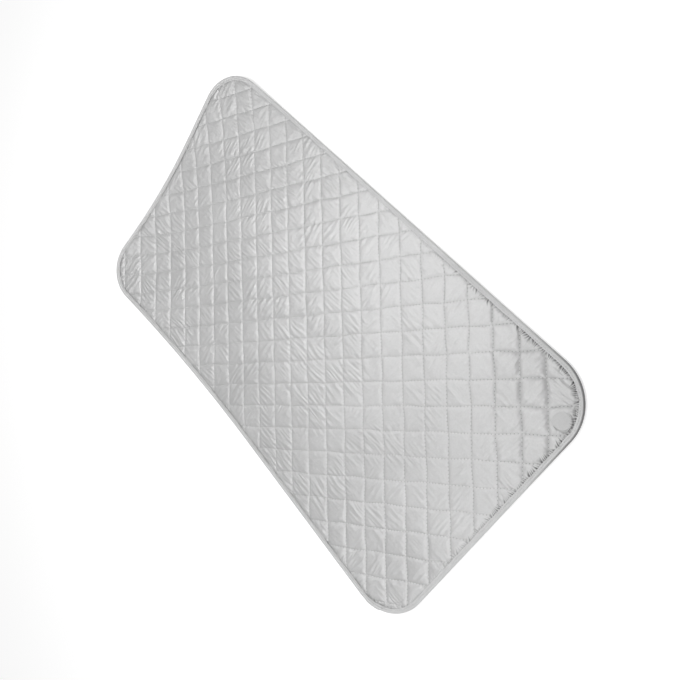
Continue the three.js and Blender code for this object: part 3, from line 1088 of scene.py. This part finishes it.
def bindingPoints():
    section = tapeSection()
    depth, height = section.T
    middle = tape["height"] / 2
    onTop = height > middle
    count = int((outlineLength + tape["lap"]) / tape["spacing"])
    runs = np.linspace(0, outlineLength + tape["lap"], count)
    slant = tape["lapSlant"] * unit((runs - outlineLength) / tape["lap"])
    cut = runs[:, None] + slant[:, None] * (2 * depth / tape["width"] - 1)[None]
    places, inward = alongOutline(cut.reshape(-1) % outlineLength)
    share = tapeShare(places).reshape(cut.shape)
    lapped = unit((runs - outlineLength) / tape["lapFade"] + 1)
    over = lapped * (tape["thickness"] + tape["lapStep"])
    seamDip = np.exp(-((depth - tape["seam"]) / tape["seamWidth"]) ** 2) * onTop
    lip = unit((depth - tape["seam"]) / tape["lipFade"]) * onTop
    toSeam = unit((depth - tape["fold"]) / (tape["seam"] - tape["fold"]))
    crown = np.sin(toSeam * math.pi) * onTop
    waves = 0.5 * wander(runs, 0.014, 3) + 0.5 * wander(runs, 0.006, 4)
    stitches = np.cos(2 * math.pi * runs / stitching["tapePitch"])
    lipTurn = tape["lipTurn"] * inward.reshape(*cut.shape, 2) @ firstWay
    rise = (
        -tape["seamDip"] * seamDip[None] * (0.8 + 0.2 * stitches)[:, None]
        + tape["lipWave"] * lip[None] * wander(runs, 0.005, 6)[:, None]
        - lip[None] * (tape["lipDrop"] - lipTurn)
        + tape["crown"] * crown[None] * (0.6 + waves)[:, None]
    )
    fromMiddle = (height - middle) / middle
    outwards = over[:, None] * (np.sign(fromMiddle) * np.abs(fromMiddle) ** 0.5)[None]
    deep = depth[None] - over[:, None] * unit(1 - depth / tape["fold"])[None]
    deep = deep + tape["edgeWave"] * (depth > tape["seam"])[None] * wander(runs, 0.009, 8)[:, None]
    deep = deep - (1 - share) * np.maximum(depth - tape["fold"], 0)[None]
    flat = places + inward * deep.reshape(-1)[:, None]
    z = lay(flat).reshape(deep.shape) + height[None] + rise + outwards
    across = np.broadcast_to(depth / tape["width"], deep.shape)
    along = np.broadcast_to((runs / stitching["tapePitch"])[:, None], deep.shape)
    points = np.concatenate([flat.reshape(*deep.shape, 2), z[..., None]], 2)
    return points, np.stack([along, across], 2)


def sweptFaces(stations, count):
    index = np.arange(stations - 1)[:, None] * count + np.arange(count)[None]
    after = np.arange(stations - 1)[:, None] * count + (np.arange(count)[None] + 1) % count
    sides = np.stack([index, after, after + count, index + count], 2).reshape(-1, 4)
    ends = [list(range(count)), list(range((stations - 1) * count, stations * count))[::-1]]
    return sides.tolist() + ends


bindPoints, bindMap = bindingPoints()
stations, around = bindPoints.shape[:2]
bindPiece = meshPiece(
    "edge_binding_tape",
    bindPoints.reshape(-1, 3),
    sweptFaces(stations, around),
    tapeMaterial,
    bindMap.reshape(-1, 2),
)
finishFace(facePiece)
print("binding swept:", stations, "stations")

# Stitches: short arcs of thread with both ends down in the cloth, one at each point of a row

def stitchTree():
    tree = bpy.data.node_groups.new("stitch rows", "GeometryNodeTree")
    socket(tree, "INPUT", "Geometry", "Rows")
    for label in ("Length", "Radius", "Sink"):
        socket(tree, "INPUT", "Float", label)
    socket(tree, "INPUT", "Material", "Thread")
    socket(tree, "OUTPUT", "Geometry", "Stitches")
    given = put(tree, "NodeGroupInput").outputs
    half = product(tree, given["Length"], 0.5)
    down = product(tree, given["Sink"], -1.0)
    start = product(tree, half, -1.0)
    before = made(tree, "ShaderNodeCombineXYZ", {0: start, 2: down})
    after = made(tree, "ShaderNodeCombineXYZ", {0: half, 2: down})
    over = made(tree, "ShaderNodeCombineXYZ", {2: product(tree, given["Sink"], stitching["arch"])})
    bend = {"Resolution": 4, "Start": before, "Middle": over, "End": after}
    arc = made(tree, "GeometryNodeCurveQuadraticBezier", bend)
    circle = {"Resolution": 5, "Radius": given["Radius"]}
    profile = made(tree, "GeometryNodeCurvePrimitiveCircle", circle)
    swept = {"Curve": arc, "Profile Curve": profile, "Fill Caps": True}
    stitch = made(tree, "GeometryNodeCurveToMesh", swept)
    rows = made(tree, "GeometryNodeMeshToCurve", {"Mesh": given["Rows"]})
    along = made(tree, "GeometryNodeInputTangent")
    align = "FunctionNodeAlignRotationToVector"
    level = made(tree, align, {"Vector": along}, axis="X", pivot_axis="Z")
    turned = made(tree, align, {"Rotation": level, "Vector": along}, axis="X")
    size = put(tree, "FunctionNodeRandomValue", {"Seed": 7}, data_type="FLOAT_VECTOR")
    size.inputs[0].default_value = stitching["smallest"]
    size.inputs[1].default_value = stitching["largest"]
    spots = {"Points": rows, "Instance": stitch, "Rotation": turned, "Scale": size.outputs[0]}
    placed = made(tree, "GeometryNodeInstanceOnPoints", spots)
    solid = made(tree, "GeometryNodeRealizeInstances", {"Geometry": placed})
    done = made(tree, "GeometryNodeSetMaterial", {"Geometry": solid, "Material": given["Thread"]})
    put(tree, "NodeGroupOutput", {"Stitches": done})
    return tree


stitchRows = stitchTree()


def sewRows(name, rows, size):
    points = np.concatenate(rows)
    starts = np.cumsum([0] + [len(row) for row in rows])
    edges = [(at, at + 1) for first, last in zip(starts, starts[1:]) for at in range(first, last - 1)]
    mesh = bpy.data.meshes.new(name)
    mesh.from_pydata(points.tolist(), edges, [])
    line = newObject(name, mesh)
    modifier = line.modifiers.new("stitches", "NODES")
    modifier.node_group = stitchRows
    given = [item for item in stitchRows.interface.items_tree if item.in_out == "INPUT"]
    sockets = {item.name: item.identifier for item in given}
    for label, value in size.items():
        modifier[sockets[label.capitalize()]] = value
    modifier[sockets["Thread"]] = threadMaterial
    sewn = bpy.data.meshes.new_from_object(line.evaluated_get(bpy.context.evaluated_depsgraph_get()))
    line.modifiers.remove(modifier)
    sewn.name = name
    sewn.materials.clear()
    sewn.materials.append(threadMaterial)
    sewn.polygons.foreach_set("material_index", [0] * len(sewn.polygons))
    sewn.shade_smooth()
    line.data = sewn
    return line


def quiltRows(axis, height):
    rows = []
    perCell = quilt["stitchesPerCell"]
    along = (np.arange(-quiltReach * perCell, quiltReach * perCell) + 0.5) / perCell
    for number in range(-quiltReach, quiltReach + 1):
        uv = np.stack([np.full(len(along), number), along], 1)
        xy = quiltPlace(uv if axis == 0 else uv[:, ::-1])
        xy = xy[outside(xy) < -stitching["quiltInset"]]
        if len(xy) > 1:
            rows.append(np.c_[xy, lay(xy) + height])
    return rows


def tapeRow(height):
    runs = np.arange(0, outlineLength, stitching["tapePitch"])
    places, inward = alongOutline(runs)
    seam = tape["fold"] + (tape["seam"] - tape["fold"]) * tapeShare(places)
    xy = places + inward * seam[:, None]
    return [np.c_[xy, lay(xy) + height]]


faceLift = pad["stitchTop"] + stitching["quiltLift"]
stitchPieces = [
    sewRows("quilting_thread_a", quiltRows(0, faceLift), stitching["quilt"]),
    sewRows("quilting_thread_b", quiltRows(1, faceLift), stitching["quilt"]),
    sewRows("binding_thread", tapeRow(tape["height"] - stitching["tapeDip"]), stitching["tape"]),
    sewRows("under_thread_a", quiltRows(0, back["rowRise"]), stitching["under"]),
    sewRows("under_thread_b", quiltRows(1, back["rowRise"]), stitching["under"]),
]
print("stitches sewn:", sum(len(piece.data.polygons) for piece in stitchPieces), "faces")

# Floor, light and camera

stage = {
    "floorSize": 6.0,
    "floorLow": -0.0004,
    "floorColour": (0.70, 0.70, 0.70),
    "floorGlow": 0.54,
    "skyLow": 0.80,
    "skyHigh": 0.30,
    "softboxes": [
        {"place": (-0.22, 0.07, 0.9), "aim": (-0.22, 0.07, 0.0), "size": 0.5, "power": 4.1},
        {"place": (0.66, -0.32, 0.8), "aim": (0.36, -0.28, 0.0), "size": 0.4, "power": 2.7},
    ],
}


def paleFloor():
    bpy.ops.mesh.primitive_plane_add(size=stage["floorSize"], location=(0, 0, stage["floorLow"]))
    floor = bpy.context.object
    floor.name = "floor"
    material, tree, shader = newMaterial("pale floor", Roughness=0.9)
    shader.inputs["Base Color"].default_value = (*stage["floorColour"], 1)
    shader.inputs["Specular IOR Level"].default_value = 0.0
    rays = put(tree, "ShaderNodeLightPath").outputs
    mirrored = math2(tree, "MAXIMUM", rays["Is Glossy Ray"], rays["Is Transmission Ray"])
    seen = math2(tree, "MAXIMUM", rays["Is Camera Ray"], mirrored)
    glow = product(tree, seen, stage["floorGlow"])
    shader.inputs["Emission Color"].default_value = (1, 1, 1, 1)
    tree.links.new(glow, shader.inputs["Emission Strength"])
    floor.data.materials.append(material)


def studioLight():
    world = bpy.data.worlds.new("soft room")
    world.use_nodes = True
    tree = world.node_tree
    sky = tree.nodes["Background"]
    sky.inputs["Color"].default_value = (1, 1, 1, 1)
    sight = put(tree, "ShaderNodeTexCoord").outputs["Generated"]
    up = put(tree, "ShaderNodeSeparateXYZ", {0: sight}).outputs[2]
    bright = ramp(tree, up, 0.0, 1.0, stage["skyLow"], stage["skyHigh"])
    tree.links.new(bright, sky.inputs["Strength"])
    bpy.context.scene.world = world
    for softbox in stage["softboxes"]:
        lamp = bpy.data.lights.new("softbox", "AREA")
        lamp.shape = "DISK"
        lamp.size = softbox["size"]
        lamp.energy = softbox["power"]
        box = newObject("softbox", lamp)
        box.location = softbox["place"]
        aim = Vector(softbox["aim"]) - box.location
        box.rotation_euler = aim.to_track_quat("-Z", "Y").to_euler()


shot = {"place": (0.5519, 0.4349, 0.8382), "target": (0.0694, 0.0230, 0.0), "roll": -89.452, "lens": 36.85}


def photoCamera():
    data = bpy.data.cameras.new("camera")
    data.sensor_width = 36.0
    data.lens = shot["lens"]
    camera = newObject("camera", data)
    way = (Vector(shot["target"]) - Vector(shot["place"])).to_track_quat("-Z", "Y").to_matrix()
    turn = way @ Matrix.Rotation(math.radians(shot["roll"]), 3, "Z")
    camera.matrix_world = Matrix.Translation(shot["place"]) @ turn.to_4x4()
    bpy.context.scene.camera = camera


paleFloor()
studioLight()
photoCamera()
bpy.context.scene.view_settings.view_transform = "Standard"
print("stage set")

# What each piece stands for

for piece, node, slot in (
    (facePiece, "face_cover", "face_cloth"),
    (waddingPiece, "upper_wadding", "wadding"),
    (feltPiece, "lower_felt", "felt"),
    (backPiece, "back_cover", "back_cloth"),
    (bindPiece, "edge_binding", "binding_tape"),
):
    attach(piece, "root")
    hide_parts(node)
for piece in stitchPieces:
    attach(piece, "root")
for node in magnetNodes:
    bpy.data.objects[node].data.materials.clear()
    bpy.data.objects[node].data.materials.append(magnetMaterial)
